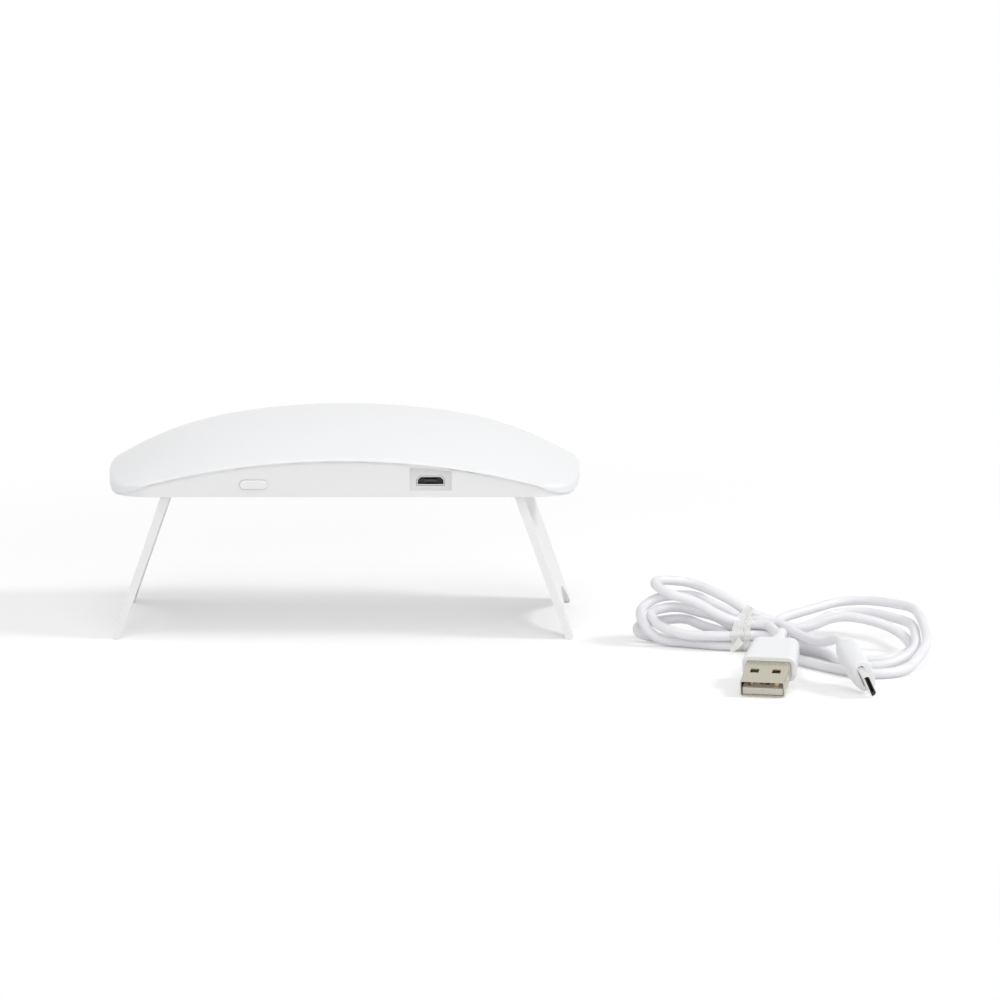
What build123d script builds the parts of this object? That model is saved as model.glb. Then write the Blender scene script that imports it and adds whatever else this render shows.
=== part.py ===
from build123d import *
import math
import os

# LED nail lamp on two folding legs, with its USB lead lying beside it.
# Millimetres. The origin is on the floor under the middle of the lamp.
# X runs along the lamp, -Y is the side with the button and the socket, Z is up.

os.makedirs("parts", exist_ok=True)

# Body, heights counted from its underside
body_length = 135.0
body_depth = 66.0
underside = 41.0
crown_height = 21.5
crown_shoulder_share = 0.46
crown_shoulder_drop = 2.42
crown_end_height = 4.92
rim_height = 10.9
rim_end_height = 0.39
corner_radius = 11.8
end_bow = 3.6
rim_round = 1.5
end_foot_round = 1.2

# Shell and base walls
shell_wall = 1.6
lip_height = 1.2
lip_round = 1.0
seam_gap = 0.15
base_recess = 0.5
tongue_gap = 0.15
tongue_wall = 1.1
tongue_rise = 1.1
base_floor = 1.2
end_floor = 1.6

# Legs
leg_lean = 19.35
leg_thickness = 2.5
foot_thickness = 2.1
foot_round = 0.5
leg_side_in = 2.0
leg_end_in = 17.6
leg_top = 2.8
pin_height = 1.6
pin_offset = 1.5
pin_radius = 0.75
knuckle_radius = 1.6
knuckle_length = 6.0
knuckle_side_in = 9.0
lug_length = 2.0
hinge_gap = 0.25
pin_cover = 0.5
pin_fit = 0.05
leg_recess = 1.7
recess_side_gap = 0.3
leg_stop_gap = 0.1
foot_length = 5.5
foot_arch_height = 9.0

# Lamp insides
window_length = 62.0
window_depth = 36.0
window_corner = 5.0
reflector_sheet = 0.6
reflector_slope = 3.0
reflector_flange = 2.2
reflector_mouth_in = 1.0
reflector_deck_corner = 3.5
board_length = 76.0
board_side_gap = 1.35
board_thickness = 1.2
board_height = 5.9
board_corner = 2.0
seat_gap = 0.05
led_spacing_x = 20.0
led_spacing_y = 17.0
led_base = 5.0
led_base_height = 1.0
led_dome_radius = 2.3
led_dome_height = 2.0
led_gap = 0.3
post_end_in = 4.5
post_side_in = 3.8
post_radius = 2.2
screw_radius = 1.0
screw_fit = 0.05
screw_head_radius = 1.9
screw_head_height = 1.2
board_screw_length = 3.6
screw_head_sunk = 0.9
screw_slot = 0.5
case_screw_end_in = 11.0
case_screw_side_in = 16.5
case_screw_length = 5.2
case_post_radius = 2.4

# Power button and its switch
button_x = -24.9
button_height = 3.6
button_length = 7.9
button_width = 2.6
button_proud = 0.4
button_travel = 0.5
button_gap = 0.15
button_round = 0.3
flange_gap = 0.15
flange_length = 9.8
flange_thickness = 0.8
flange_bottom = 3.15
flange_top = 5.65
stem_length = 1.6
stem_width = 1.6
stem_height = 1.0
switch_length = 6.0
switch_depth = 3.2
switch_height = 2.5
plunger_width = 2.4
plunger_height = 1.1
plunger_length = 1.4
plunger_out = 0.7
plunger_gap = 0.1

# Micro USB socket and the recess round it
socket_x = 25.0
socket_height = 4.6
socket_width = 7.7
socket_thickness = 2.5
socket_length = 5.0
socket_sheet = 0.2
socket_chamfer = 0.95
socket_gap = 0.15
socket_set_back = 0.1
socket_tongue = (3.7, 0.5)
socket_tongue_top = 0.3
contact_step = 0.65
contact_gap = 0.01
socket_contact_width = 0.4
contact_thickness = 0.12
port_length = 11.8
port_bottom = 1.95
port_top = 8.3
port_deep = 1.0
mark_radius = 0.3
mark_deep = 0.3
mark_height = 7.1

# Small parts on top of the board
chip_size = (4.9, 3.9, 1.5)
chip_at = (9.0, 12.0)
coil_size = (6.0, 6.0, 2.8)
coil_at = (20.0, -12.0)
can_radius = 3.1
can_height = 5.4
can_at = (-14.0, 13.0)
chip_part_size = (2.0, 1.25, 0.6)
chip_part_step = 4.0
chip_part_count = 6
chip_part_start = (-12.0, -14.0)
chip_chamfer = 0.3
coil_round = 1.2
can_round = 0.5

# The lead: a round cord wound as a hank and tied at its waist
cord_diameter = 2.75
cord_floor_gap = 0.05
waist_x = 114.5
waist_y = -45.0
strand_step = 3.5
tie_sheet = 0.5
tie_width = 4.0
tie_gap = 0.45
tie_ends_length = 8.0
tie_ends_slant = 3.5
tie_ends_height = 1.8
left_turns = 4
left_reach = 26.5
left_reach_growth = 0.2
last_loop_out = 1.5
tail_straight = 5.0
usb_tail_bend = (122.3, -69.5, 11.4)
micro_tail_bends = ((127.2, -66.5, 9.8), (131.0, -77.0, 11.0))

# Left loops, from the front of the waist round to its far side: share of the reach at each
# station, distance behind the waist, height of the lowest loop, and rise from loop to loop
left_shares = (0.5, 0.86, 1.0, 0.84)
left_depths = (1.8, 6.0, 13.0, 20.0, 11.6)
left_heights = (0.8, 1.9, 4.1, 2.1)
left_rises = (1.3, 2.7, 3.1, 3.5)
left_arching = (0.24, 0.34)
left_spread = (1.15, 0.5, 1.6)
left_home = 11.5

# Right loops, from the far side of the waist round to its front: how far out and how far
# behind the waist each station lies on the first loop, and what each further loop adds
right_out = (13.0, 31.0, 44.7, 30.0, 15.0)
right_out_step = (0.0, 1.1, 1.8, 1.2, 0.0)
right_depths = (2.6, 1.2, -9.5, -23.4, -9.4)
right_depth_step = (5.0, 0.0, -2.5, -8.7, -6.2)
right_fan = 18.5
right_tip_height = 3.4
right_tip_rise = 2.9

# USB-A plug, its nose resting on the floor
usb_nose = (114.6, -112.0, 2.3)
usb_yaw = -12.0
usb_pitch = 15.5
usb_metal = (12.0, 4.5)
usb_metal_out = 12.0
usb_metal_in = 6.0
usb_sheet = 0.3
usb_corner = 0.6
usb_hole = 2.3
usb_hole_x = 2.95
usb_hole_back = 6.3
usb_body_front = (14.8, 7.4)
usb_body_rear = (12.6, 6.6)
usb_body_length = 13.5
usb_body_corner = 2.2
usb_rear_round = 1.2
usb_front_round = 0.5
usb_neck_length = 4.0
usb_neck_radius = 2.1
neck_bite = 0.5
usb_tongue_thickness = 1.9
usb_tongue_side_gap = 0.25
usb_tongue_back = 0.6
usb_tongue_block = 4.5
usb_contact_width = 1.0
usb_contact_x = (-3.5, -1.0, 1.0, 3.5)
usb_contact_front = (-1.4, -2.4, -2.4, -1.4)
usb_contact_rear = -9.0

# Micro USB plug, lying on its edge
micro_nose = (143.3, -113.8, 3.5)
micro_yaw = 14.8
micro_pitch = 16.8
micro_roll = -63.0
micro_metal = (6.85, 1.8)
micro_metal_out = 5.2
micro_metal_in = 4.0
micro_sheet = 0.25
micro_chamfer = 0.6
micro_body_front = (10.2, 6.6)
micro_body_waist = (10.2, 6.8)
micro_body_rear = (8.8, 6.4)
micro_rear_round = 1.6
micro_body_length = 15.5
micro_waist_share = 0.55
micro_corner_share = 0.42
micro_front_round = 0.6
micro_neck_length = 4.0
micro_neck_radius = 2.1
micro_insert_back = 0.5
micro_slot_side = 0.75
micro_slot_height = (-0.3, 0.35)
micro_slot_deep = 4.2
micro_contact_width = 0.36
micro_contact_run = (-4.1, -1.0)
fit_gap = 0.05

half_length = body_length / 2
half_depth = body_depth / 2
rim_drop = rim_height - rim_end_height
rim_radius = (half_length**2 + rim_drop**2) / (2 * rim_drop)
seam_centre = underside + rim_height - rim_radius

# The crown's middle arc runs to its shoulder, and a tighter arc goes on smoothly to the end
crown_shoulder = crown_shoulder_share * half_length
crown_radius = (crown_shoulder**2 + crown_shoulder_drop**2) / (2 * crown_shoulder_drop)
shoulder_sine = crown_shoulder / crown_radius
shoulder_cosine = math.sqrt(1 - shoulder_sine**2)
end_run = half_length - crown_shoulder
end_drop = crown_height - crown_shoulder_drop - crown_end_height
end_bend = end_drop * shoulder_cosine - end_run * shoulder_sine
crown_end_radius = (end_run**2 + end_drop**2) / (2 * end_bend)
side_centre_x = crown_shoulder - crown_end_radius * shoulder_sine
side_centre_height = crown_height - crown_shoulder_drop - crown_end_radius * shoulder_cosine

base_face = half_depth - base_recess
base_inside = shell_wall + tongue_gap + tongue_wall
inner_face = half_depth - base_inside
leg_half = half_depth - leg_side_in
leg_at_underside = half_length - leg_end_in
knuckle_at = leg_half - knuckle_side_in
recess_half = leg_half + recess_side_gap
lean = math.radians(leg_lean)
floor_top = leg_recess + base_floor
board_half = inner_face - board_side_gap
post_x = board_length / 2 - post_end_in
post_y = board_half - post_side_in
case_screw_x = half_length - case_screw_end_in
case_screw_y = half_depth - case_screw_side_in
flange_y = -inner_face + flange_gap
# How far a cut runs on past the face that it opens
past = 1.0


def crown_at(x):
    """Height of the crown line above the underside."""
    x = abs(x)
    if x <= crown_shoulder:
        return crown_height - crown_radius + math.sqrt(crown_radius**2 - x**2)
    return side_centre_height + math.sqrt(crown_end_radius**2 - (x - side_centre_x) ** 2)


def rim_at(x):
    """Height of the rim line, where the top meets the long sides."""
    return rim_height - rim_radius + math.sqrt(rim_radius**2 - x**2)


def plan(inset):
    """The body's outline seen from above, drawn in by the inset."""
    x_corner = half_length - end_bow - inset
    x_middle = half_length - inset
    y = half_depth - inset
    with BuildSketch() as outline:
        with BuildLine():
            Line((-x_corner, -y), (x_corner, -y))
            ThreePointArc((x_corner, -y), (x_middle, 0), (x_corner, y))
            Line((x_corner, y), (-x_corner, y))
            ThreePointArc((-x_corner, y), (-x_middle, 0), (-x_corner, -y))
        make_face()
        fillet(outline.vertices(), corner_radius - inset)
    return outline.sketch


def prism(inset, bottom, top):
    """The body's outline raised between two heights above the underside."""
    return Pos(0, 0, underside + bottom) * extrude(plan(inset), top - bottom)


def loaf(inset):
    """A long block whose top is the arched and crowned surface, lowered by the inset."""
    stations = (-1.04, -0.94, -0.8, -0.62, -0.4, -0.2, 0.0, 0.2, 0.4, 0.62, 0.8, 0.94, 1.04)
    y = half_depth
    below = -8.0
    sections = []
    for share in stations:
        x = share * half_length
        rim = rim_at(x) - inset
        crown = crown_at(x) - inset
        with BuildSketch(Plane(origin=(x, 0, underside), x_dir=(0, 1, 0), z_dir=(1, 0, 0))) as section:
            with BuildLine():
                Line((-y, below), (y, below))
                Line((y, below), (y, rim))
                ThreePointArc((y, rim), (0, crown), (-y, rim))
                Line((-y, rim), (-y, below))
            make_face()
        sections.append(section.sketch)
    return loft(sections)


def body_block(inset, bottom=0.0):
    """The body as one block, drawn in on all sides by the inset."""
    return loaf(inset) & prism(inset, bottom, crown_height + past)


def under_arch(rise):
    """Everything below the arched seam, raised or lowered by the rise."""
    radius = rim_radius - lip_height + rise
    return Pos(0, 0, seam_centre) * Rot(90, 0, 0) * Cylinder(radius, body_depth + 2 * past)


def lip_rounding():
    """What rounds the shell's outer lower edge along one arched side, turned about the arch's own centre."""
    low = underside + rim_height - lip_height
    with BuildSketch(Plane.YZ) as corner:
        with BuildLine():
            Polyline((-half_depth, low + lip_round), (-half_depth - past, low + lip_round),
                     (-half_depth - past, low - past), (-half_depth + lip_round, low - past),
                     (-half_depth + lip_round, low))
            RadiusArc((-half_depth + lip_round, low), (-half_depth, low + lip_round), lip_round)
        make_face()
    return revolve(corner.sketch, Axis((0, 0, seam_centre), (0, 1, 0)), 360)


def box(x0, x1, y0, y1, z0, z1):
    """A box between limits, heights counted from the underside."""
    size = Box(x1 - x0, y1 - y0, z1 - z0)
    return Pos((x0 + x1) / 2, (y0 + y1) / 2, underside + (z0 + z1) / 2) * size


def post(x, y, radius, z0, z1):
    """An upright round post, heights counted from the underside."""
    return Pos(x, y, underside + (z0 + z1) / 2) * Cylinder(radius, z1 - z0)


def four(x, y):
    """The four corner places."""
    return [(i * x, j * y) for i in (-1, 1) for j in (-1, 1)]


def top_shell():
    block = body_block(0.0)
    block = fillet(block.faces().sort_by(Axis.Z)[-1].edges(), rim_round)
    block = fillet(block.faces().sort_by(Axis.Z)[0].edges(), end_foot_round)
    posts = Part() + [post(x, y, case_post_radius, end_floor + seat_gap, crown_height)
                      for x, y in four(case_screw_x, case_screw_y)]
    shell = block - body_block(shell_wall, -past) - under_arch(0.0)
    shell += posts & body_block(shell_wall / 2, 0.0)
    for x, y in four(case_screw_x, case_screw_y):
        shell -= post(x, y, screw_radius + screw_fit, 0, end_floor + case_screw_length)
    shell -= lip_rounding()
    shell -= mirror(lip_rounding(), about=Plane.XZ)
    return shell


def hinge_x():
    """Where the hinge pin stands, from the lean and the place of the leg."""
    along = (pin_height + pin_offset * math.sin(lean)) / math.cos(lean)
    return leg_at_underside - along * math.sin(lean) - pin_offset * math.cos(lean)


def hinge_span():
    """Length of the bore for one hinge pin, closed at both ends by the lugs."""
    return knuckle_length + 2 * hinge_gap + 2 * (lug_length - pin_cover)


def pill(length, width, y0, y1, x, z):
    """A pill-shaped bar along Y between two depths."""
    with BuildSketch(Plane(origin=(x, y1, underside + z), x_dir=(1, 0, 0), z_dir=(0, -1, 0))) as face:
        SlotOverall(length, width)
    return extrude(face.sketch, y1 - y0)


def socket_outline(grow):
    """The socket's outline: a slot with its two upper corners cut."""
    w = socket_width / 2 + grow
    h = socket_thickness / 2 + grow
    c = socket_chamfer + grow * 0.4
    return Polygon((-w, -h), (w, -h), (w, h - c), (w - c, h), (-w + c, h), (-w, h - c), align=None)


def socket_bar(grow, y0, y1):
    face = Plane(origin=(socket_x, y1, underside + socket_height), x_dir=(1, 0, 0), z_dir=(0, -1, 0))
    return extrude(face * socket_outline(grow), y1 - y0)


def base_housing():
    top = rim_height + tongue_rise + past
    lower = prism(base_recess, 0.0, top) & under_arch(-seam_gap)
    tongue = prism(shell_wall + tongue_gap, 0.0, top) & under_arch(tongue_rise)
    tongue = tongue & loaf(shell_wall + tongue_gap)
    slab = prism(shell_wall + tongue_gap, 0.0, end_floor)
    base = lower + tongue + slab
    pin_x = hinge_x()
    stop_x = leg_at_underside + leg_thickness / 2 / math.cos(lean) + leg_stop_gap
    mid_x = stop_x + base_floor
    inside = prism(base_inside, end_floor, top)
    bench = box(-mid_x, mid_x, -half_depth, half_depth, end_floor - past, floor_top)
    base -= inside - bench
    base -= box(-stop_x, stop_x, -recess_half, recess_half, -past, leg_recess)
    knuckle_half = knuckle_length / 2 + hinge_gap
    roof = pin_height + knuckle_radius + hinge_gap
    for side in (-1, 1):
        for y in (-knuckle_at, knuckle_at):
            x = side * pin_x
            reach = knuckle_radius + hinge_gap
            boss = box(x - reach - base_floor, x + reach + base_floor, y - knuckle_half - lug_length,
                       y + knuckle_half + lug_length, leg_recess, roof + base_floor)
            base += boss & prism(base_inside - tongue_wall / 2, 0, rim_height)
            for end in (-1, 1):
                lug_y = y + end * (knuckle_half + lug_length / 2)
                lug = Rot(90, 0, 0) * Cylinder(knuckle_radius, lug_length)
                lug = Pos(x, lug_y, underside + pin_height) * lug
                lug += box(x - knuckle_radius, x + knuckle_radius, lug_y - lug_length / 2,
                           lug_y + lug_length / 2, pin_height, roof)
                base += lug
            slot_outer = max(abs(x) + reach, stop_x)
            low, high = sorted((side * (pin_x - reach), side * slot_outer))
            base -= box(low, high, y - knuckle_half, y + knuckle_half, -past, roof)
            hole = Cylinder(pin_radius + pin_fit, hinge_span())
            base -= Pos(x, y, underside + pin_height) * Rot(90, 0, 0) * hole
    window = extrude(RectangleRounded(window_length, window_depth, window_corner), base_floor + 2 * past)
    base -= Pos(0, 0, underside + leg_recess - past) * window
    for x, y in four(post_x, post_y):
        base += post(x, y, post_radius, leg_recess + base_floor / 2, board_height)
        base -= post(x, y, screw_radius + screw_fit, floor_top, board_height + past)
    for x, y in four(case_screw_x, case_screw_y):
        base -= post(x, y, screw_radius + 2 * screw_fit, -past, end_floor + past)
        base -= post(x, y, screw_head_radius + button_gap, -past, screw_head_sunk)
    base -= pill(button_length + 2 * button_gap, button_width + 2 * button_gap, -half_depth - past,
                 flange_y + button_travel + button_gap, button_x, button_height)
    base -= box(socket_x - port_length / 2, socket_x + port_length / 2, -half_depth - past,
                -base_face + port_deep, port_bottom, port_top)
    base -= socket_bar(socket_gap, -half_depth - past, -inner_face + past / 2)
    mark = Cylinder(mark_radius, 2 * mark_deep)
    base -= Pos(socket_x, -base_face + port_deep, underside + mark_height) * Rot(90, 0, 0) * mark
    return base


def leg(side):
    """One leg, built for the right and mirrored for the left."""
    pin_x = hinge_x()
    foot_x = leg_at_underside + underside * math.tan(lean)
    half = leg_thickness / 2 / math.cos(lean)
    foot_half = foot_thickness / 2 / math.cos(lean)
    top_x = leg_at_underside - leg_top * math.tan(lean)
    blade = Plane(origin=(0, leg_half, 0), x_dir=(1, 0, 0), z_dir=(0, -1, 0)) * Polygon(
        (foot_x - foot_half, 0), (foot_x + foot_half, 0),
        (top_x + half, underside + leg_top), (top_x - half, underside + leg_top), align=None)
    plate = extrude(blade, 2 * leg_half)
    plate = fillet(plate.edges().filter_by(Axis.Y).group_by(Axis.Z)[0], foot_round)
    shoulder = -hinge_gap
    inner_x, outer_x = leg_at_underside - 2 * leg_thickness, leg_at_underside + 2 * leg_thickness
    for low, high in ((-leg_half - past, -knuckle_at - knuckle_length / 2),
                      (-knuckle_at + knuckle_length / 2, knuckle_at - knuckle_length / 2),
                      (knuckle_at + knuckle_length / 2, leg_half + past)):
        plate -= box(inner_x, outer_x, low, high, shoulder, leg_top + past)
    plate -= box(inner_x, outer_x, -leg_half - past, leg_half + past,
                 leg_recess - leg_stop_gap, leg_top + past)
    for y in (-knuckle_at, knuckle_at):
        barrel = Pos(pin_x, y, underside + pin_height) * Rot(90, 0, 0)
        plate += barrel * Cylinder(knuckle_radius, knuckle_length)
        plate -= barrel * Cylinder(pin_radius + pin_fit, knuckle_length + 2 * past)
    span = leg_half - foot_length
    arch_radius = (span**2 + foot_arch_height**2) / (2 * foot_arch_height)
    arch = Cylinder(arch_radius, 4 * leg_thickness)
    plate -= Pos(foot_x, 0, foot_arch_height - arch_radius) * Rot(0, 90, 0) * arch
    return plate if side > 0 else mirror(plate, about=Plane.YZ)


def hinge_pins(side):
    pin = Rot(90, 0, 0) * Cylinder(pin_radius, hinge_span() - 4 * pin_fit)
    pins = [Pos(side * hinge_x(), y, underside + pin_height) * pin for y in (-knuckle_at, knuckle_at)]
    return Compound(children=pins)


def reflector():
    """A thin bright tray round the window, with a hole for each LED."""
    low = floor_top + seat_gap
    top = board_height - led_base_height + reflector_sheet / 2
    outer_w, outer_d = window_length + 2 * reflector_flange, window_depth + 2 * reflector_flange
    flange = extrude(RectangleRounded(outer_w, outer_d, window_corner + reflector_flange), reflector_sheet)
    tray = Pos(0, 0, underside + low) * flange

    def bowl(grow, z0, z1):
        mouth_in = reflector_mouth_in - grow
        deck_in = mouth_in + reflector_slope
        mouth = RectangleRounded(window_length - 2 * mouth_in, window_depth - 2 * mouth_in, window_corner)
        deck = RectangleRounded(window_length - 2 * deck_in, window_depth - 2 * deck_in,
                                reflector_deck_corner)
        return loft([Pos(0, 0, underside + z0) * mouth, Pos(0, 0, underside + z1) * deck])

    tray += bowl(reflector_sheet, low, top)
    tray -= bowl(0, low - 0.001, top - reflector_sheet)
    for x, y in led_places():
        tray -= post(x, y, led_base / math.sqrt(2) + led_gap, low, top + past)
    return tray


def led_places():
    return [(i * led_spacing_x, j * led_spacing_y / 2) for j in (-1, 1) for i in (-1, 0, 1)]


def led(x, y):
    base_low = board_height - seat_gap - led_base_height
    chip = box(x - led_base / 2, x + led_base / 2, y - led_base / 2, y + led_base / 2,
               base_low, board_height - seat_gap)
    dome_radius = (led_dome_radius**2 + led_dome_height**2) / (2 * led_dome_height)
    dome = Pos(x, y, underside + base_low - led_dome_height + dome_radius) * Sphere(dome_radius)
    keep = post(x, y, led_dome_radius, base_low - led_dome_height - past, base_low + seat_gap)
    return chip + (dome & keep)


def circuit_board():
    board = Pos(0, 0, underside + board_height) * extrude(
        RectangleRounded(board_length, 2 * board_half, board_corner), board_thickness)
    for x, y in four(post_x, post_y):
        board -= post(x, y, screw_radius + 2 * screw_fit, board_height - past,
                      board_height + board_thickness + past)
    return board


def screw(x, y, head_z, length, point_down):
    """A pan-head screw with a cross recess, its head's seat at head_z."""
    out = 1 if point_down else -1
    head_low, head_high = sorted((head_z, head_z + out * screw_head_height))
    shank_low, shank_high = sorted((head_z, head_z - out * length))
    body = post(x, y, screw_head_radius, head_low, head_high)
    body += post(x, y, screw_radius, shank_low, shank_high)
    outer_face = head_high if point_down else head_low
    for turn in (0, 90):
        cross = Box(1.1 * screw_head_radius, screw_slot, 2 * screw_slot)
        body -= Pos(x, y, underside + outer_face) * Rot(0, 0, turn) * cross
    return body


def board_screws():
    head = board_height + board_thickness
    return Compound(children=[screw(x, y, head, board_screw_length, True) for x, y in four(post_x, post_y)])


def case_screws():
    return Compound(children=[screw(x, y, screw_head_sunk, case_screw_length, False)
                              for x, y in four(case_screw_x, case_screw_y)])


def power_button():
    face_y = -base_face - button_proud
    cap = pill(button_length, button_width, face_y, flange_y, button_x, button_height)
    rim = cap.faces().sort_by(Axis.Y)[0].edges()
    cap = fillet(rim, button_round)
    flange = box(button_x - flange_length / 2, button_x + flange_length / 2, flange_y,
                 flange_y + flange_thickness, flange_bottom, flange_top)
    stem_z = plunger_mid()
    stem = box(button_x - stem_width / 2, button_x + stem_width / 2, flange_y + flange_thickness,
               flange_y + flange_thickness + stem_length, stem_z - stem_height / 2, stem_z + stem_height / 2)
    return cap + flange + stem


def plunger_mid():
    """Height of the switch plunger, at the middle of the switch hung under the board."""
    return board_height - 2 * seat_gap - switch_height / 2


def switch_front():
    """Y of the switch body's front face."""
    return flange_y + flange_thickness + stem_length + seat_gap + plunger_out


def power_switch():
    y = switch_front()
    body = box(button_x - switch_length / 2, button_x + switch_length / 2, y, y + switch_depth,
               board_height - seat_gap - switch_height, board_height - seat_gap)
    z = plunger_mid()
    body -= box(button_x - plunger_width / 2 - plunger_gap, button_x + plunger_width / 2 + plunger_gap,
                y - past, y + plunger_length - plunger_out + button_travel + 2 * plunger_gap,
                z - plunger_height / 2 - plunger_gap, z + plunger_height / 2 + plunger_gap)
    return body


def switch_plunger():
    y = switch_front() - plunger_out
    z = plunger_mid()
    return box(button_x - plunger_width / 2, button_x + plunger_width / 2, y, y + plunger_length,
               z - plunger_height / 2, z + plunger_height / 2)


def socket_front():
    return -base_face + port_deep + socket_set_back


def usb_socket_shell():
    y = socket_front()
    tube = socket_bar(0, y, y + socket_length)
    return tube - socket_bar(-socket_sheet, y - past, y + socket_length - socket_sheet)


def usb_socket_tongue():
    front = socket_front() + 3 * socket_sheet
    rear = socket_front() + socket_length - socket_sheet - seat_gap
    back = socket_bar(-socket_sheet - seat_gap, rear - 6 * socket_sheet, rear)
    width, height = socket_tongue
    top = socket_height + socket_tongue_top
    return back + box(socket_x - width / 2, socket_x + width / 2, front, rear - seat_gap, top - height, top)


def usb_socket_contacts():
    front = socket_front() + 4 * socket_sheet
    rear = socket_front() + socket_length - 9 * socket_sheet
    high = socket_height + socket_tongue_top - socket_tongue[1] - contact_gap
    half = socket_contact_width / 2
    middles = [socket_x + i * contact_step for i in range(-2, 3)]
    return Compound(children=[box(x - half, x + half, front, rear, high - contact_thickness, high)
                              for x in middles])


def on_board(size, place):
    top = board_height + board_thickness + seat_gap
    x, y = place
    return box(x - size[0] / 2, x + size[0] / 2, y - size[1] / 2, y + size[1] / 2, top, top + size[2])


def control_chip():
    chip = on_board(chip_size, chip_at)
    return chamfer(chip.faces().sort_by(Axis.Z)[-1].edges(), chip_chamfer)


def supply_coil():
    coil = on_board(coil_size, coil_at)
    return fillet(coil.edges().filter_by(Axis.Z), coil_round)


def supply_capacitor():
    low = board_height + board_thickness + seat_gap
    can = post(can_at[0], can_at[1], can_radius, low, low + can_height)
    return fillet(can.faces().sort_by(Axis.Z)[-1].edges(), can_round)


def chip_parts():
    x, y = chip_part_start
    return Compound(children=[on_board(chip_part_size, (x + i * chip_part_step, y))
                              for i in range(chip_part_count)])


def plug_plane(nose, yaw, pitch, roll=0.0):
    """A plug's own plane: X across it, Y its top, Z out of its nose."""
    yaw, pitch, roll = math.radians(yaw), math.radians(pitch), math.radians(roll)
    out = Vector(math.sin(yaw) * math.cos(pitch), -math.cos(yaw) * math.cos(pitch), -math.sin(pitch))
    across = Vector(math.cos(yaw), math.sin(yaw), 0)
    up = out.cross(across)
    across = across * math.cos(roll) + up * math.sin(roll)
    return Plane(origin=nose, x_dir=across, z_dir=out)


def slab(plane, x0, x1, y0, y1, z0, z1):
    """A block in a plug's own plane."""
    block = Pos((x0 + x1) / 2, (y0 + y1) / 2, (z0 + z1) / 2) * Box(x1 - x0, y1 - y0, z1 - z0)
    return plane * block


def usb_place():
    return plug_plane(usb_nose, usb_yaw, usb_pitch)


def usb_bar(width, height, corner, z0, z1):
    bar = Pos(0, 0, z0) * extrude(RectangleRounded(width, height, corner), z1 - z0)
    return usb_place() * bar


def usb_plug_shell():
    width, height = usb_metal
    rear = -usb_metal_out - usb_metal_in
    inner = (width - 2 * usb_sheet, height - 2 * usb_sheet)
    shell = usb_bar(width, height, usb_corner, rear, 0)
    shell -= usb_bar(*inner, usb_corner - usb_sheet, rear - past, past)
    for x in (-usb_hole_x, usb_hole_x):
        shell -= slab(usb_place(), x - usb_hole / 2, x + usb_hole / 2, -height, height,
                      -usb_hole_back - usb_hole / 2, -usb_hole_back + usb_hole / 2)
    return shell


def plug_neck(rear, radius, length):
    """The short round sleeve where the cord leaves a plug, sunk a little into its body."""
    return Pos(0, 0, rear + (neck_bite - length) / 2) * Cylinder(radius, length + neck_bite)


def usb_plug_body():
    front = -usb_metal_out
    rear = front - usb_body_length
    sections = [Pos(0, 0, z) * RectangleRounded(*size, usb_body_corner)
                for z, size in ((rear, usb_body_rear), (front, usb_body_front))]
    body = loft(sections)
    body = fillet(body.faces().sort_by(Axis.Z)[0].edges(), usb_rear_round)
    body = fillet(body.faces().sort_by(Axis.Z)[-1].edges(), usb_front_round)
    neck = plug_neck(rear, usb_neck_radius, usb_neck_length)
    grown = [size + 2 * fit_gap for size in usb_metal]
    pocket = Pos(0, 0, front - usb_metal_in - fit_gap) * extrude(
        RectangleRounded(*grown, usb_corner), usb_metal_in + 2 * past)
    return usb_place() * (body + neck - pocket)


def usb_tongue_top():
    return -usb_metal[1] / 2 + usb_sheet + fit_gap + usb_tongue_thickness


def usb_plug_tongue():
    half = usb_metal[0] / 2 - usb_sheet - usb_tongue_side_gap
    top = usb_tongue_top()
    low = top - usb_tongue_thickness
    rear = -usb_metal_out - usb_metal_in + 2 * fit_gap
    bar = slab(usb_place(), -half, half, low, top, rear, -usb_tongue_back)
    high = usb_metal[1] / 2 - usb_sheet - fit_gap
    return bar + slab(usb_place(), -half, half, low, high, rear, rear + usb_tongue_block)


def usb_plug_contacts():
    low = usb_tongue_top() + contact_gap
    half = usb_contact_width / 2
    return Compound(children=[slab(usb_place(), x - half, x + half, low, low + contact_thickness,
                                   usb_contact_rear, front)
                              for x, front in zip(usb_contact_x, usb_contact_front)])


def micro_place():
    return plug_plane(micro_nose, micro_yaw, micro_pitch, micro_roll)


def micro_outline(grow):
    """The micro plug's metal outline: a slot with two corners cut."""
    w = micro_metal[0] / 2 + grow
    h = micro_metal[1] / 2 + grow
    c = micro_chamfer + grow * 0.4
    return Polygon((-w, -h), (w, -h), (w, h - c), (w - c, h), (-w + c, h), (-w, h - c), align=None)


def micro_bar(grow, z0, z1):
    return micro_place() * (Pos(0, 0, z0) * extrude(micro_outline(grow), z1 - z0))


def micro_plug_shell():
    rear = -micro_metal_out - micro_metal_in
    return micro_bar(0, rear, 0) - micro_bar(-micro_sheet, rear - past, past)


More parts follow.
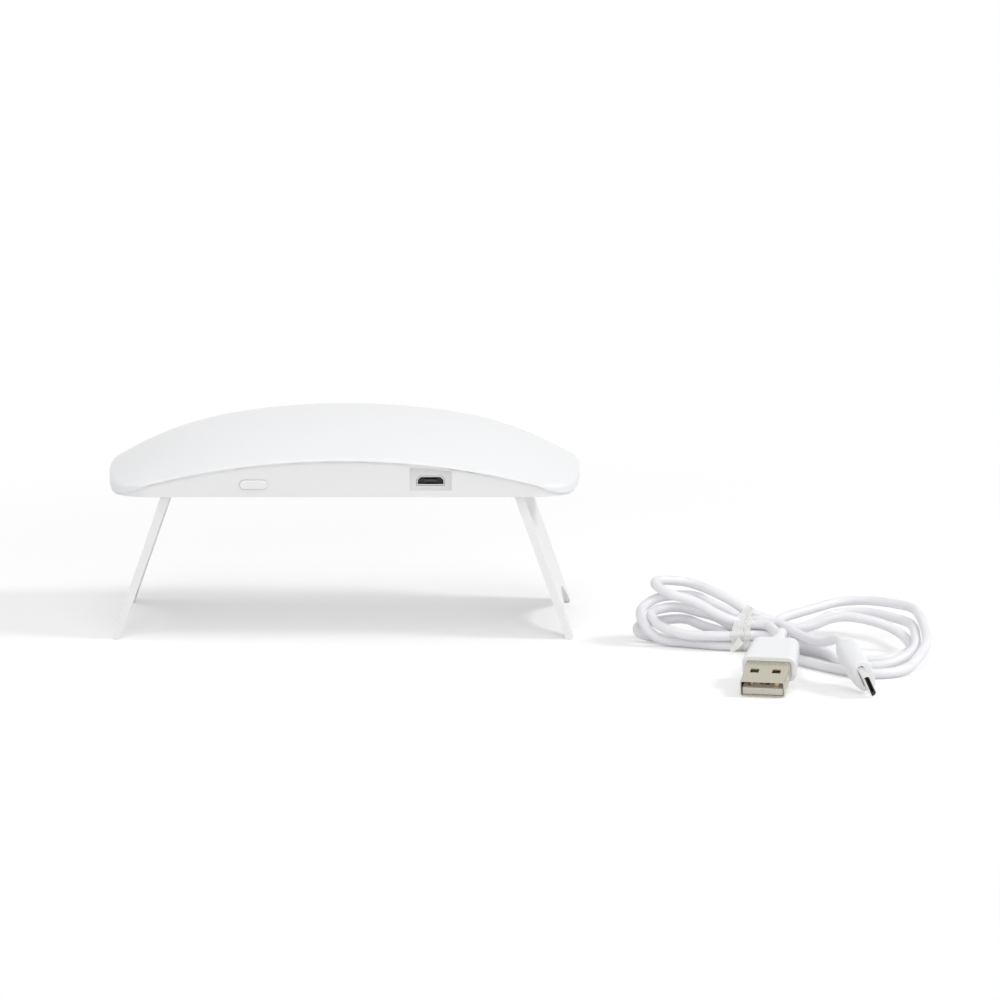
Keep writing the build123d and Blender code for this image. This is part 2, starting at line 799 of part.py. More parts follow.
def micro_plug_body():
    front = -micro_metal_out
    middle = front - micro_body_length * micro_waist_share
    rear = front - micro_body_length
    sizes = ((rear, micro_body_rear), (middle, micro_body_waist), (front, micro_body_front))
    body = loft([Pos(0, 0, z) * RectangleRounded(*size, size[1] * micro_corner_share) for z, size in sizes])
    body = fillet(body.faces().sort_by(Axis.Z)[0].edges(), micro_rear_round)
    body = fillet(body.faces().sort_by(Axis.Z)[-1].edges(), micro_front_round)
    neck = plug_neck(rear, micro_neck_radius, micro_neck_length)
    pocket = Pos(0, 0, front - micro_metal_in - fit_gap) * extrude(
        micro_outline(fit_gap), micro_metal_in + 2 * past)
    return micro_place() * (body + neck - pocket)


def micro_plug_insert():
    rear = -micro_metal_out - micro_metal_in + 2 * fit_gap
    core = micro_bar(-micro_sheet - fit_gap, rear, -micro_insert_back)
    half = micro_metal[0] / 2 - micro_sheet - micro_slot_side
    return core - slab(micro_place(), -half, half, *micro_slot_height, -micro_slot_deep, past)


def micro_plug_contacts():
    half = micro_contact_width / 2
    low = micro_slot_height[0] + contact_gap
    return Compound(children=[slab(micro_place(), i * contact_step - half, i * contact_step + half,
                                   low, low + contact_thickness, *micro_contact_run) for i in range(-2, 3)])


def plug_exit(plane, length):
    """The middle of a plug's rear face, and the direction in which the cord leaves it."""
    back = plane.z_dir * -1
    return plane.origin + back * length, back


def usb_exit():
    return plug_exit(usb_place(), usb_metal_out + usb_body_length + usb_neck_length)


def micro_exit():
    return plug_exit(micro_place(), micro_metal_out + micro_body_length + micro_neck_length)


cord_low = cord_diameter / 2 + cord_floor_gap
waist_low = cord_diameter / 2 + tie_sheet + tie_gap
# Column and layer of each strand at the waist, going left and coming back, turn by turn
waist_in = ((-1, 2), (0, 0), (-1, 1), (-1, 0))
waist_out = ((1, 2), (1, 0), (1, 1), (0, 2))
# How high each turn's left loop stands, counted from the lowest
left_rank = (3, 0, 1, 2)
right_lift = ((8.5, 8.0), (4.6, 9.1), (7.2, 10.2))
right_climb = (0.0, 2.7, 0.0)
lead_in = (5.4, -9.0, 9.2)
lead_in_way = (-0.3, 0.95, -0.05)
lead_in_bend = (2.6, -3.9, 9.3)
lead_out = (9.5, -4.5, 10.2)
lead_out_way = (0.35, -0.94, -0.03)
# How much of its slant a strand keeps where it passes through the tie
waist_slant = 0.35


def by_waist(along, across, height):
    """A point counted from the middle of the waist."""
    return Vector(waist_x + along, waist_y + across, height)


def at_waist(slot):
    column, layer = slot
    return by_waist(0, strand_step * column, waist_low + strand_step * layer)


def left_loop(turn):
    """Stations of one left loop, from the front of the waist round to its far side."""
    column, layer = waist_in[turn]
    rank = left_rank[turn]
    reach = left_reach + left_reach_growth * turn**3
    last = last_loop_out if turn == left_turns - 1 else 0.0
    low = cord_low + strand_step * layer
    bend, tip, far, home = (height + rise * rank for height, rise in zip(left_heights, left_rises))
    tip += left_arching[0] * rank**2
    far += left_arching[1] * rank**2
    columns = (column, column, waist_out[turn][0] - 1)
    front_in, bend_in, home_in = (strand_step * at * spread for at, spread in zip(columns, left_spread))
    return [
        by_waist(-left_shares[0] * reach, left_depths[0] + front_in - last, low),
        by_waist(-left_shares[1] * reach, left_depths[1] + bend_in - last, low / 2 + bend),
        by_waist(-left_shares[2] * reach, left_depths[2], tip),
        by_waist(-left_shares[3] * reach, left_depths[3] - last / 1.5, far),
        by_waist(-left_home, left_depths[4] + home_in, home),
    ]


def right_loop(turn):
    """Stations of one right loop, from the far side of the waist round to its front."""
    leaving, far = right_lift[turn]
    tip = right_tip_height + right_tip_rise * turn
    heights = (leaving, far, tip, cord_low, cord_low + right_climb[turn])
    fans = (0.0, right_fan * turn**0.3 if turn else 0.0, 0.0, 0.0, 0.0)
    outs = [out + step * turn for out, step in zip(right_out, right_out_step)]
    depths = [depth + step * turn for depth, step in zip(right_depths, right_depth_step)]
    return [by_waist(out, depth + fan, height)
            for out, depth, fan, height in zip(outs, depths, fans, heights)]


def hank_stations():
    stations = [by_waist(*lead_in), by_waist(*lead_in_bend)]
    for turn in range(left_turns):
        stations.append(at_waist(waist_in[turn]))
        stations += left_loop(turn)
        stations.append(at_waist(waist_out[turn]))
        if turn < left_turns - 1:
            stations += right_loop(turn)
    return stations + [by_waist(*lead_out)]


def directions(stations):
    """The way the cord runs at each station, from the stations beside it."""
    ways = [Vector(*lead_in_way).normalized()]
    for before, here, after in zip(stations, stations[1:], stations[2:]):
        coming, going = here - before, after - here
        way = coming.normalized() * going.length + going.normalized() * coming.length
        if here.X == waist_x:
            way = Vector(way.X, way.Y * waist_slant, way.Z * waist_slant)
        if here.Z == cord_low:
            way = Vector(way.X, way.Y, 0)
        ways.append(way.normalized())
    return ways + [Vector(*lead_out_way).normalized()]


def biarc(start, way_in, end, way_out):
    """Two arcs that meet smoothly between two stations, with the cord's way given at both."""
    chord = end - start
    both = way_in + way_out
    a = 4 - both.dot(both)
    b = chord.dot(both)
    reach = (math.sqrt(b * b + a * chord.dot(chord)) - b) / a
    near = start + way_in * reach
    far = end - way_out * reach
    middle = (near + far) / 2
    return [TangentArc(start, middle, tangent=way_in), TangentArc(middle, end, tangent=far - near)]


def hank_arcs():
    stations = hank_stations()
    ways = directions(stations)
    arcs = []
    for start, end, way_in, way_out in zip(stations, stations[1:], ways, ways[1:]):
        arcs += biarc(start, way_in, end, way_out)
    return arcs, stations, ways


def least_gap(arcs):
    """The least free space between stretches that lie over six diameters apart along the cord."""
    spots = []
    run = 0.0
    for arc in arcs:
        count = max(2, round(arc.length))
        for i in range(count):
            spots.append((run + arc.length * i / count, arc.position_at(i / count)))
        run += arc.length
    least = float("inf")
    for index, (here, spot) in enumerate(spots):
        for there, other in spots[index + 1:]:
            if there - here > 6 * cord_diameter:
                least = min(least, (spot - other).length)
    return least - cord_diameter


def tube(wire_edges, start, way):
    face = Plane(origin=start, z_dir=way) * Circle(cord_diameter / 2)
    return sweep(face, path=Wire(wire_edges))


def cord_hank():
    arcs, stations, ways = hank_arcs()
    first = stations[0] - ways[0] * cord_diameter
    last = stations[-1] + ways[-1] * cord_diameter
    edges = [Line(first, stations[0])] + arcs + [Line(stations[-1], last)]
    length = sum(edge.length for edge in edges)
    solid = tube(edges, first, ways[0])
    section = math.pi * cord_diameter**2 / 4
    print("hank length", round(length, 1), "volume share", round(solid.volume / section / length, 4))
    print("hank least radius", round(min(arc.radius for arc in arcs), 2))
    print("hank least gap", round(least_gap(arcs), 2))
    return solid


def free_stretch(points, name):
    """A tube along straight runs joined by tangent arcs."""
    points = [Vector(*point) for point in points]
    radii = []
    for before, here, after in zip(points, points[1:], points[2:]):
        turn = math.radians((here - before).get_angle(after - here))
        shorter = min((here - before).length, (after - here).length)
        radii.append(0.45 * shorter / math.tan(turn / 2))
    path = FilletPolyline(*points, radius=radii)
    solid = tube(path.edges(), points[0], points[1] - points[0])
    section = math.pi * cord_diameter**2 / 4
    print(name, "length", round(path.length, 1), "radii", [round(radius, 1) for radius in radii],
          "volume share", round(solid.volume / section / path.length, 4))
    return solid


def usb_tail_points():
    exit_point, back = usb_exit()
    way = Vector(*lead_in_way).normalized()
    end = by_waist(*lead_in) - way * cord_diameter
    return [exit_point, exit_point + back * 1.2 * tail_straight, usb_tail_bend,
            end - way * tail_straight, end]


def micro_tail_points():
    exit_point, back = micro_exit()
    way = Vector(*lead_out_way).normalized()
    start = by_waist(*lead_out) + way * cord_diameter
    return [start, start + way * tail_straight, *micro_tail_bends,
            exit_point + back * tail_straight, exit_point]


def tie_ring(grow, width):
    """The outline of the bundle at the waist, raised along the strands."""
    across = 2 * strand_step + cord_diameter + 2 * (tie_gap + grow)
    height = 2 * strand_step + cord_diameter + 2 * (tie_gap + grow)
    middle = waist_low + strand_step
    plane = Plane(origin=(waist_x - width / 2, waist_y, middle), x_dir=(0, 1, 0), z_dir=(1, 0, 0))
    return extrude(plane * RectangleRounded(across, height, cord_diameter / 2 + grow), width)


def cable_tie():
    """A soft band round the waist with its two ends pinched together in front."""
    band = tie_ring(tie_sheet, tie_width) - tie_ring(0, tie_width + 2)
    half = tie_width / 4
    front = waist_y - strand_step - cord_diameter / 2 - tie_gap - tie_sheet / 2
    tip = front - tie_ends_length
    with BuildSketch(Plane(origin=(waist_x, 0, cord_floor_gap), z_dir=(0, 0, 1))) as ends:
        with BuildLine():
            Polyline((half, front), (-half, front), (-half - tie_ends_slant, tip),
                     (half - tie_ends_slant, tip - tie_sheet), (half, front))
        make_face()
    return band + extrude(ends.sketch, tie_ends_height)


def write(name, shape):
    export_step(shape, f"parts/{name}.step")


write("top_shell", top_shell())
write("base_housing", base_housing())
write("leg_left", leg(-1))
write("leg_right", leg(1))
write("hinge_pins_left", hinge_pins(-1))
write("hinge_pins_right", hinge_pins(1))
write("reflector", reflector())
write("circuit_board", circuit_board())
for number, place in enumerate(led_places(), 1):
    write(f"led_{number}", led(*place))
write("board_screws", board_screws())
write("case_screws", case_screws())
write("power_button", power_button())
write("power_switch", power_switch())
write("switch_plunger", switch_plunger())
write("usb_socket_shell", usb_socket_shell())
write("usb_socket_tongue", usb_socket_tongue())
write("usb_socket_contacts", usb_socket_contacts())
write("control_chip", control_chip())
write("supply_coil", supply_coil())
write("supply_capacitor", supply_capacitor())
write("chip_parts", chip_parts())
write("usb_plug_shell", usb_plug_shell())
write("usb_plug_body", usb_plug_body())
write("usb_plug_tongue", usb_plug_tongue())
write("usb_plug_contacts", usb_plug_contacts())
write("micro_plug_shell", micro_plug_shell())
write("micro_plug_body", micro_plug_body())
write("micro_plug_insert", micro_plug_insert())
write("micro_plug_contacts", micro_plug_contacts())
write("cord_hank", cord_hank())
write("cord_usb_tail", free_stretch(usb_tail_points(), "usb tail"))
write("cord_micro_tail", free_stretch(micro_tail_points(), "micro tail"))
write("cable_tie", cable_tie())
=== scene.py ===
import math

import bpy
import bmesh
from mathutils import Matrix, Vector, noise


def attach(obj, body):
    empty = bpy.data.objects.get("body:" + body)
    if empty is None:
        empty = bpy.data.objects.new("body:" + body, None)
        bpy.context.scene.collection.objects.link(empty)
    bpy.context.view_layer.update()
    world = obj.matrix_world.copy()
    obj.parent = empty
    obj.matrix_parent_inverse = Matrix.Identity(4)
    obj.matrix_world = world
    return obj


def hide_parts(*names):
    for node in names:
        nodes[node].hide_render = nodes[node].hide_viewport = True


# LED nail lamp on folding legs with its USB lead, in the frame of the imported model
# Shapes and the camera's place are given in millimetres and made in metres
# The stage, its lights, the finishes and how far the camera sees are given in metres

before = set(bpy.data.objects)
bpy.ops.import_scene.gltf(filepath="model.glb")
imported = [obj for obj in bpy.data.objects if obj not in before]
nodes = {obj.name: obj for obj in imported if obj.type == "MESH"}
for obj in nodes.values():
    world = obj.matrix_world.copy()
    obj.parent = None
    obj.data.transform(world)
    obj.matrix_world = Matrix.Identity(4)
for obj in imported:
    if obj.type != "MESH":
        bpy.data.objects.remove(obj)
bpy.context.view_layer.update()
scene = bpy.context.scene
MM = 0.001


# The camera, at the photograph's viewing angle
camera_place = Vector((44.55, -1393.8, 267.2)) * MM
camera_pitch = math.radians(9.465)
focal_pixels = 4897.0
picture_pixels = 1000.0
sensor_width = 36.0
nearest_seen = 0.05
furthest_seen = 20.0


def add_camera():
    data = bpy.data.cameras.new("photo_camera")
    data.sensor_width = sensor_width
    data.lens = focal_pixels / picture_pixels * sensor_width
    data.clip_start = nearest_seen
    data.clip_end = furthest_seen
    camera = bpy.data.objects.new("photo_camera", data)
    camera.location = camera_place
    camera.rotation_euler = (math.pi / 2 - camera_pitch, 0.0, 0.0)
    scene.collection.objects.link(camera)
    scene.camera = camera


add_camera()


# Shader building blocks
def link(tree, source, target):
    tree.links.new(source, target)


def make_group(name, inputs, outputs):
    """An empty node group with named number sockets in and out."""
    tree = bpy.data.node_groups.new(name, "ShaderNodeTree")
    for label, value in inputs:
        socket = tree.interface.new_socket(name=label, in_out="INPUT", socket_type="NodeSocketFloat")
        socket.default_value = value
    for label in outputs:
        tree.interface.new_socket(name=label, in_out="OUTPUT", socket_type="NodeSocketFloat")
    return tree, tree.nodes.new("NodeGroupInput"), tree.nodes.new("NodeGroupOutput")


def math_node(tree, operation, first, second=None):
    node = tree.nodes.new("ShaderNodeMath")
    node.operation = operation
    for socket, value in zip(node.inputs, (first, second)):
        if value is None:
            continue
        if isinstance(value, (int, float)):
            socket.default_value = value
        else:
            link(tree, value, socket)
    return node.outputs[0]


def noise_node(tree, vector, scale, detail=3.0, rough=0.5):
    node = tree.nodes.new("ShaderNodeTexNoise")
    node.inputs["Detail"].default_value = detail
    node.inputs["Roughness"].default_value = rough
    link(tree, scale, node.inputs["Scale"])
    link(tree, vector, node.inputs["Vector"])
    return node.outputs["Fac"]


def place_node(tree, stretch=(1.0, 1.0, 1.0)):
    """The surface's place on the object, in metres, stretched along its axes."""
    coordinates = tree.nodes.new("ShaderNodeTexCoord")
    mapping = tree.nodes.new("ShaderNodeMapping")
    mapping.inputs["Scale"].default_value = stretch
    link(tree, coordinates.outputs["Object"], mapping.inputs["Vector"])
    return mapping.outputs["Vector"]


def swing(tree, source, amount):
    """How far a noise lies above or below its middle, times an amount."""
    return math_node(tree, "MULTIPLY", math_node(tree, "SUBTRACT", source, noise_middle), amount)


# Two effects that the finishes share: the skin of moulded plastic and the grain of metal
noise_middle = 0.5
speck_scale = 260.0
speck_size = 0.07
line_stretch = (1.0, 0.06, 1.0)
line_share = 0.45
effect_outputs = ("Tone", "Roughness Shift", "Height")


def moulded_skin_group():
    """Moulded plastic: faint orange peel, slow drift of gloss and shade, and stray dust specks."""
    amounts = (("Peel Scale", 900.0), ("Drift Scale", 22.0), ("Shade", 0.03), ("Gloss Drift", 0.08),
               ("Dust", 0.02))
    tree, given, out = make_group("moulded_skin", amounts, effect_outputs)
    place = place_node(tree)
    peel = noise_node(tree, place, given.outputs["Peel Scale"], detail=2.0)
    drift = noise_node(tree, place, given.outputs["Drift Scale"], detail=4.0, rough=0.55)
    speck = tree.nodes.new("ShaderNodeTexVoronoi")
    speck.inputs["Scale"].default_value = speck_scale
    link(tree, place, speck.inputs["Vector"])
    near = math_node(tree, "LESS_THAN", speck.outputs["Distance"], speck_size)
    dust = math_node(tree, "MULTIPLY", near, given.outputs["Dust"])
    shade = swing(tree, drift, given.outputs["Shade"])
    tone = math_node(tree, "SUBTRACT", math_node(tree, "ADD", shade, 1.0), dust)
    gloss = swing(tree, drift, given.outputs["Gloss Drift"])
    link(tree, tone, out.inputs["Tone"])
    link(tree, math_node(tree, "ADD", gloss, dust), out.inputs["Roughness Shift"])
    link(tree, peel, out.inputs["Height"])
    return tree


def drawn_metal_group():
    """Rolled or drawn metal: fine lines along one way under a cloudier tarnish."""
    amounts = (("Line Scale", 1500.0), ("Cloud Scale", 160.0), ("Shade", 0.12), ("Gloss Drift", 0.15))
    tree, given, out = make_group("drawn_metal", amounts, effect_outputs)
    lines = noise_node(tree, place_node(tree, line_stretch), given.outputs["Line Scale"], detail=2.0)
    cloud = noise_node(tree, place_node(tree), given.outputs["Cloud Scale"], detail=4.0, rough=0.6)
    mixed = math_node(tree, "ADD", math_node(tree, "MULTIPLY", lines, line_share),
                      math_node(tree, "MULTIPLY", cloud, 1.0 - line_share))
    link(tree, math_node(tree, "ADD", swing(tree, mixed, given.outputs["Shade"]), 1.0), out.inputs["Tone"])
    link(tree, swing(tree, mixed, given.outputs["Gloss Drift"]), out.inputs["Roughness Shift"])
    link(tree, lines, out.inputs["Height"])
    return tree


skin_group = moulded_skin_group()
metal_group = drawn_metal_group()


# The finishes
peel_depth = 0.000006
plastic_gloss = {"IOR": 1.5, "Specular IOR Level": 0.5}
plain_metal = {"Metallic": 1.0}
clear_silicone = {"IOR": 1.41, "Transmission Weight": 0.95}
thin_film = {"IOR": 1.5, "Alpha": 0.4}
# Where the socket's recess gets a painted shade: its box on the housing in metres, and how much darker
recess_middle = (0.025, -0.0315, 0.0461)
recess_half = (0.00588, 0.0003, 0.0033)
recess_shade = 0.11
finishes = {}


def add_finish(name, group, color, roughness, settings, relief=peel_depth, **amounts):
    """A material whose shade, gloss and relief come from one group, round its own colour and roughness."""
    material = bpy.data.materials.new(name)
    material.use_nodes = True
    tree = material.node_tree
    shader = tree.nodes["Principled BSDF"]
    effect = tree.nodes.new("ShaderNodeGroup")
    effect.node_tree = group
    for label, value in amounts.items():
        effect.inputs[label.replace("_", " ").title()].default_value = value
    shaded = tree.nodes.new("ShaderNodeVectorMath")
    shaded.operation = "SCALE"
    shaded.inputs[0].default_value = color
    link(tree, effect.outputs["Tone"], shaded.inputs["Scale"])
    link(tree, shaded.outputs[0], shader.inputs["Base Color"])
    rough = math_node(tree, "ADD", effect.outputs["Roughness Shift"], roughness)
    link(tree, rough, shader.inputs["Roughness"])
    bump = tree.nodes.new("ShaderNodeBump")
    bump.inputs["Strength"].default_value = 1.0
    bump.inputs["Distance"].default_value = relief
    link(tree, effect.outputs["Height"], bump.inputs["Height"])
    link(tree, bump.outputs["Normal"], shader.inputs["Normal"])
    for label, value in settings.items():
        shader.inputs[label].default_value = value
    finishes[name] = material


def add_plastic(name, color, roughness, **amounts):
    add_finish(name, skin_group, color, roughness, plastic_gloss, **amounts)


def add_metal(name, color, roughness, **amounts):
    add_finish(name, metal_group, color, roughness, plain_metal, **amounts)


def paint_recess_shade(material):
    """The socket's recess is moulded in the housing's own plastic; its face gets a painted shade, darker as
    if the lip above shaded it.
    """
    tree = material.node_tree
    shaded = next(node for node in tree.nodes if node.type == "VECT_MATH")
    tone = shaded.inputs["Scale"].links[0].from_socket
    split = tree.nodes.new("ShaderNodeSeparateXYZ")
    link(tree, tree.nodes.new("ShaderNodeTexCoord").outputs["Object"], split.inputs["Vector"])
    inside = recess_shade
    for part, middle, half in zip(split.outputs, recess_middle, recess_half):
        apart = math_node(tree, "ABSOLUTE", math_node(tree, "SUBTRACT", part, middle))
        inside = math_node(tree, "MULTIPLY", math_node(tree, "LESS_THAN", apart, half), inside)
    link(tree, math_node(tree, "SUBTRACT", tone, inside), shaded.inputs["Scale"])


# The lamp's own plastics
add_plastic("shell_white", (0.845, 0.85, 0.86), 0.3, shade=0.015)
add_plastic("base_white", (0.85, 0.85, 0.855), 0.42, peel_scale=1400.0, shade=0.02)
add_plastic("leg_white", (0.88, 0.88, 0.885), 0.4, peel_scale=1300.0, shade=0.02)
add_plastic("button_white", (0.88, 0.875, 0.875), 0.25, peel_scale=1500.0)
# The recess round the socket: a painted shade
paint_recess_shade(finishes["base_white"])

# What the housing holds
add_metal("steel_pin", (0.6, 0.6, 0.61), 0.3)
add_metal("bright_tray", (0.9, 0.9, 0.91), 0.16, cloud_scale=60.0, shade=0.05)
add_plastic("board_white", (0.82, 0.82, 0.8), 0.45, peel_scale=2500.0)
add_plastic("black_plastic", (0.02, 0.02, 0.021), 0.45, peel_scale=3000.0, dust=0.05)
add_plastic("coil_dark", (0.07, 0.07, 0.075), 0.6, relief=3 * peel_depth, peel_scale=4000.0)
add_metal("can_metal", (0.75, 0.75, 0.77), 0.35)
add_metal("socket_metal", (0.8, 0.79, 0.78), 0.3)
add_metal("contact_gold", (0.78, 0.55, 0.25), 0.3)
# Contacts deep inside the socket and the small plug: their metal painted dark brown, a painted shade
add_metal("contact_painted_shade", (0.2, 0.16, 0.11), 0.4)
add_plastic("led_ceramic", (0.82, 0.8, 0.76), 0.5, peel_scale=4000.0)
add_plastic("led_die", (0.2, 0.13, 0.26), 0.25, peel_scale=4000.0)
add_finish("led_dome", skin_group, (0.97, 0.96, 0.92), 0.05, clear_silicone, relief=peel_depth / 4,
           peel_scale=900.0, shade=0.01, dust=0.0, gloss_drift=0.02)

# The lead, its plugs and its tie
add_plastic("cord_white", (0.84, 0.84, 0.865), 0.38, peel_scale=2200.0, shade=0.03)
add_plastic("plug_white", (0.83, 0.835, 0.855), 0.36, peel_scale=1800.0)
add_metal("usb_metal", (0.55, 0.525, 0.43), 0.27)
add_plastic("tongue_light", (0.66, 0.62, 0.57), 0.4, peel_scale=3000.0)
add_metal("micro_metal", (0.8, 0.79, 0.76), 0.24)
add_plastic("micro_core", (0.035, 0.03, 0.027), 0.5, peel_scale=3000.0, dust=0.04)
add_finish("tie_cream", skin_group, (0.95, 0.945, 0.92), 0.22, thin_film, peel_scale=900.0, shade=0.06)


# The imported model's own pieces, each in its finish
led_columns = (-20.0, 0.0, 20.0)
led_rows = (-8.5, 8.5)
led_places = [(x, y) for y in led_rows for x in led_columns]
finish_wearers = {
    "shell_white": ("top_shell",),
    "base_white": ("base_housing",),
    "leg_white": ("leg_left", "leg_right"),
    "button_white": ("power_button",),
    "steel_pin": ("hinge_pins_left", "hinge_pins_right", "board_screws", "case_screws"),
    "bright_tray": ("reflector",),
    "board_white": ("circuit_board",),
    "black_plastic": ("power_switch", "switch_plunger", "usb_socket_tongue", "control_chip", "chip_parts"),
    "coil_dark": ("supply_coil",),
    "can_metal": ("supply_capacitor",),
    "socket_metal": ("usb_socket_shell",),
    "contact_gold": ("usb_plug_contacts",),
    # The contacts deep in the socket and the small plug wear the painted shade
    "contact_painted_shade": ("usb_socket_contacts", "micro_plug_contacts"),
    "led_dome": tuple(f"led_{number}" for number in range(1, len(led_places) + 1)),
    "cord_white": ("cord_hank", "cord_usb_tail", "cord_micro_tail"),
    "plug_white": ("usb_plug_body", "micro_plug_body"),
    "usb_metal": ("usb_plug_shell",),
    "tongue_light": ("usb_plug_tongue",),
    "micro_metal": ("micro_plug_shell",),
    "micro_core": ("micro_plug_insert",),
    "tie_cream": ("cable_tie",),
}


def dress(piece, finish):
    piece.data.materials.clear()
    piece.data.materials.append(finishes[finish])


for finish, wearers in finish_wearers.items():
    for wearer in wearers:
        dress(nodes[wearer], finish)


# How the scene's own pieces are made
sharp_from = math.radians(35)


def add_piece(name, data, finish):
    """A piece that rides on the housing and finish."""
    piece = bpy.data.objects.new(name, data)
    scene.collection.objects.link(piece)
    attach(piece, "housing")
    dress(piece, finish)
    return piece


def smooth_mesh(name, points, faces):
    """A smooth mesh from points in millimetres, its faces turned outwards."""
    mesh = bpy.data.meshes.new(name)
    mesh.from_pydata([Vector(point) * MM for point in points], [], faces)
    shaper = bmesh.new()
    shaper.from_mesh(mesh)
    bmesh.ops.recalc_face_normals(shaper, faces=shaper.faces)
    for face in shaper.faces:
        face.smooth = True
    shaper.to_mesh(mesh)
    shaper.free()
    return mesh


def swept_mesh(name, sections, closed=False):
    """Sides between neighbouring cross-sections, with ends where the row of sections isn't closed."""
    count = len(sections[0])
    total = len(sections)
    faces = []
    for here in range(total if closed else total - 1):
        there = (here + 1) % total
        for corner in range(count):
            beside = (corner + 1) % count
            faces.append((here * count + corner, here * count + beside,
                          there * count + beside, there * count + corner))
    if not closed:
        faces += [tuple(range(count)), tuple(range((total - 1) * count, total * count))]
    mesh = smooth_mesh(name, [point for section in sections for point in section], faces)
    mesh.set_sharp_from_angle(angle=sharp_from)
    return mesh


def strip_mesh(name, rows, under, closed=False):
    """A thin strip: rows of points on its outer face, and the points under them."""
    count = len(rows[0])
    whole = len(rows) * count
    last = count if closed else count - 1
    faces = []
    for r in range(len(rows) - 1):
        for s in range(last):
            beside = (s + 1) % count
            quad = (r * count + s, r * count + beside, (r + 1) * count + beside, (r + 1) * count + s)
            faces += [quad, tuple(whole + corner for corner in reversed(quad))]
    edges = [(r * count + s, r * count + (s + 1) % count) for r in (0, len(rows) - 1) for s in range(last)]
    if not closed:
        edges += [(r * count + s, (r + 1) * count + s) for s in (0, count - 1) for r in range(len(rows) - 1)]
    faces += [(a, b, whole + b, whole + a) for a, b in edges]
    return smooth_mesh(name, [point for row in rows + under for point in row], faces)


# The lead's route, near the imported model's and shaped to the photograph
cord_diameter = 2.75
cord_low = cord_diameter / 2 + 0.05
waist_low = cord_diameter / 2 + 0.3
floor_match = 1e-4
waist_x = 114.5
waist_y = -45.0
waist_slant = 0.35
usb_bend = (7.8, -24.5, 8.2)
lead_in = (5.9, -9.0, 7.4)
lead_in_way = (-0.1, 0.99, 0.0)
lead_in_bend = (4.4, -2.9, 7.3)
waist_in = ((0.0, -0.8, 7.1), (0.0, 0.0, waist_low), (0.0, -3.4, 4.5), (0.0, -3.6, waist_low))
waist_out = ((0.3, 6.2, 9.3), (0.0, 3.6, waist_low), (0.0, 3.6, 4.7), (0.0, 2.9, 7.7))
left_loops = (
    ((-8.0, -1.0, 9.6), (-14.8, 1.4, 12.9), (-23.4, 3.2, 15.7), (-26.2, 9.4, 17.1), (-20.0, 15.4, 16.6),
     (-6.0, 10.2, 12.6)),
    ((-10.0, 3.8, cord_low), (-23.0, 7.8, cord_low), (-31.0, 13.2, 2.9), (-22.0, 18.6, 4.8),
     (-9.5, 7.8, 4.1)),
    ((-9.0, -3.3, 4.3), (-20.5, 0.4, 4.6), (-27.0, 6.5, 7.2), (-22.5, 16.6, 8.6), (-11.5, 11.6, 7.7)),
    ((-7.0, -2.4, cord_low), (-22.5, 3.6, cord_low), (-29.9, 6.0, 7.0), (-27.0, 14.6, 11.0),
     (-18.0, 16.6, 12.2), (-8.0, 7.6, 10.4)),
)
right_loops = (
    ((4.4, 4.3, 7.9), (11.0, 2.2, 5.9), (29.0, 1.2, 8.8), (43.5, -6.5, 4.1), (30.0, -23.4, cord_low),
     (15.0, -9.4, cord_low)),
    ((13.0, 7.2, 4.3), (31.6, 18.5, 7.0), (42.4, 9.0, 6.8), (45.7, -10.0, 6.4), (43.4, -23.0, 3.6),
     (31.2, -32.1, cord_low), (15.0, -15.6, 4.1)),
    ((13.0, 13.4, 7.3), (32.3, 22.4, 9.6), (43.1, 15.2, 9.8), (48.0, -6.0, 9.1), (46.5, -26.0, 4.6),
     (36.0, -41.0, cord_low), (15.0, -27.0, cord_low), (7.0, -8.6, cord_low)),
)
lead_out = (9.5, -4.5, 7.4)
lead_out_way = (0.35, -0.94, -0.03)
micro_bends = ((13.2, -17.0, 7.0), (18.4, -31.0, 7.6))
usb_nose = (114.6, -112.0, 2.3)
usb_turn = (-12.0, 15.5, 0.0)
usb_length = 29.5
usb_straight = 6.0
micro_nose = (143.3, -113.8, 3.5)
micro_turn = (14.8, 16.8, -63.0)
micro_length = 24.7
micro_straight = 3.5
lead_roundness = 8
lead_fineness = 10
lead_order = 3


def by_waist(along, across, height):
    return Vector((waist_x + along, waist_y + across, height))


def hank_stations():
    """Where the cord passes, from its USB end: the waist's front, a left loop, its far side, a right loop."""
    stations = [by_waist(*lead_in), by_waist(*lead_in_bend)]
    for entry, left_loop, leaving, right_loop in zip(waist_in, left_loops, waist_out, (*right_loops, ())):
        stations += [by_waist(*place) for place in (entry, *left_loop, leaving, *right_loop)]
    return stations + [by_waist(*lead_out)]


def directions(stations):
    """The way the cord runs at each station: from those beside it, level where it lies on the floor."""
    ways = [Vector(lead_in_way).normalized()]
    for before, here, after in zip(stations, stations[1:], stations[2:]):
        coming, going = here - before, after - here
        way = coming.normalized() * going.length + going.normalized() * coming.length
        if here.x == waist_x:
            way = Vector((way.x, way.y * waist_slant, way.z * waist_slant))
        if abs(here.z - cord_low) < floor_match:
            way = Vector((way.x, way.y, 0))
        ways.append(way.normalized())
    return ways + [Vector(lead_out_way).normalized()]


def hank_points():
    """Two shaping points between stations, twice as far from each other as from the station beside them."""
    stations = hank_stations()
    ways = directions(stations)
    points = [stations[0]]
    for start, end, way_in, way_out in zip(stations, stations[1:], ways, ways[1:]):
        chord = end - start
        both = way_in + way_out
        turn = 4 - both.dot(both)
        along = chord.dot(both)
        reach = (math.sqrt(along * along + turn * chord.dot(chord)) - along) / turn
        points += [start + way_in * reach, end - way_out * reach]
    return points + [stations[-1]]


